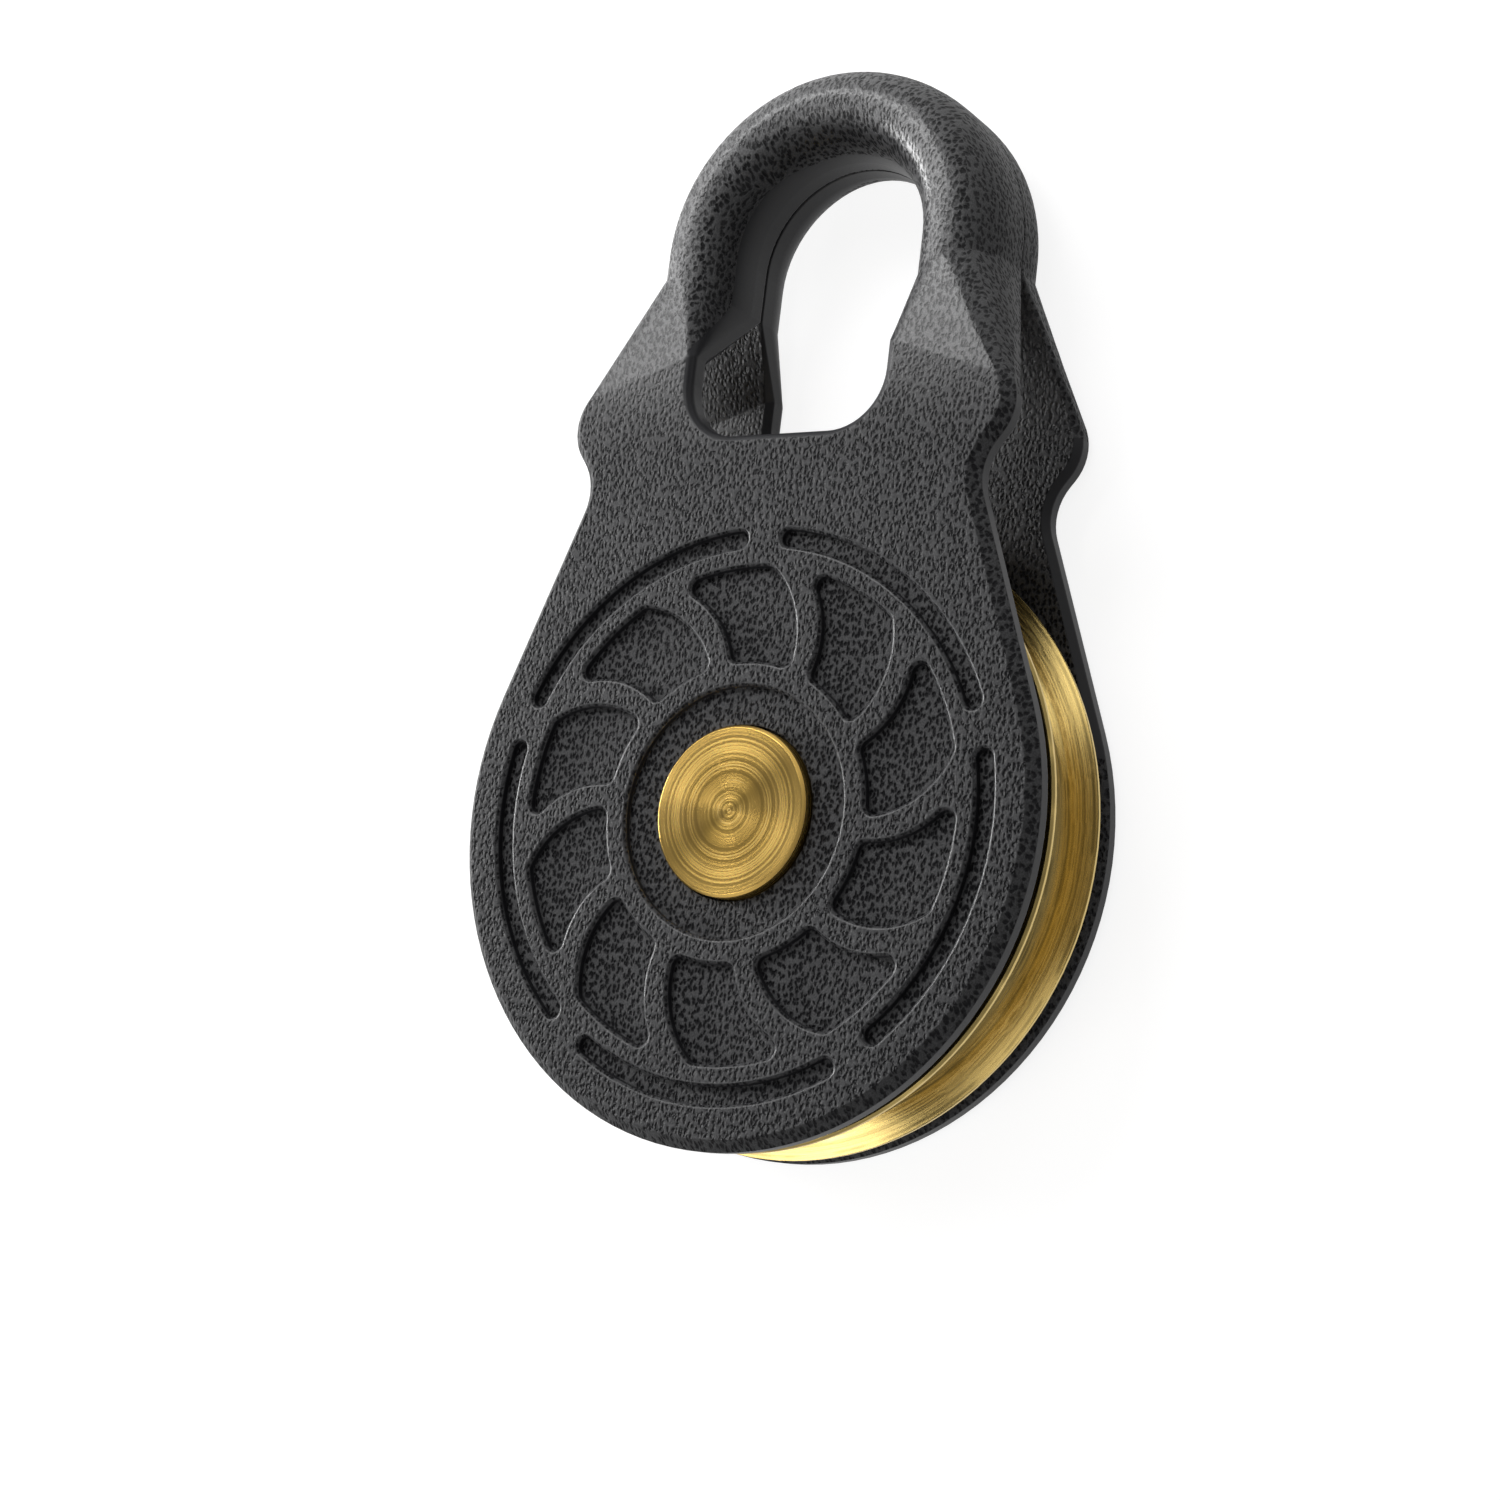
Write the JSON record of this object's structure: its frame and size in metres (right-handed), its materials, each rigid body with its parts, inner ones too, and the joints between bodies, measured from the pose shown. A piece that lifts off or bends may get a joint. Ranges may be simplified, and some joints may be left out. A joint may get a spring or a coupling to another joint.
{
  "type": "snatch block",
  "caption": "Winch snatch block: two forged cheeks that form a closed eye, one swinging open on the axle, with a grooved gold rope sheave between them.",
  "frame": {"origin": "middle of the sheave, on the axle", "axes": "+Z along the axle, out of the swinging front cheek; +Y from the axle to the eye"},
  "size_m": [0.134, 0.2283, 0.0382],
  "materials": {
    "coated_cheek": "dark hammertone powder coat",
    "gold_steel": "gold plated, turned",
    "bronze": "turned bronze",
    "washer_steel": "bright steel",
    "spring_steel": "dark spring steel",
    "nipple_steel": "zinc plated"
  },
  "bodies": {
    "rear": {"rear_cheek": "coated_cheek", "axle_pin": "gold_steel", "front_thrust_washer": "washer_steel", "rear_thrust_washer": "washer_steel", "pin_washer": "washer_steel", "retaining_ring": "spring_steel", "grease_nipple": "nipple_steel", "nipple_ball": "nipple_steel", "nipple_spring": "spring_steel"},
    "front": {"front_cheek": "coated_cheek"},
    "wheel": {"sheave": "gold_steel", "sheave_bushing": "bronze"}
  },
  "joints": [
    {"name": "cheek_swing", "type": "hinge", "parent": "rear", "child": "front", "pos_m": [0, 0, 0], "axis": [0, 0, 1], "continuous": true},
    {"name": "sheave_spin", "type": "hinge", "parent": "rear", "child": "wheel", "pos_m": [0, 0, 0], "axis": [0, 0, 1], "continuous": true}
  ]
}
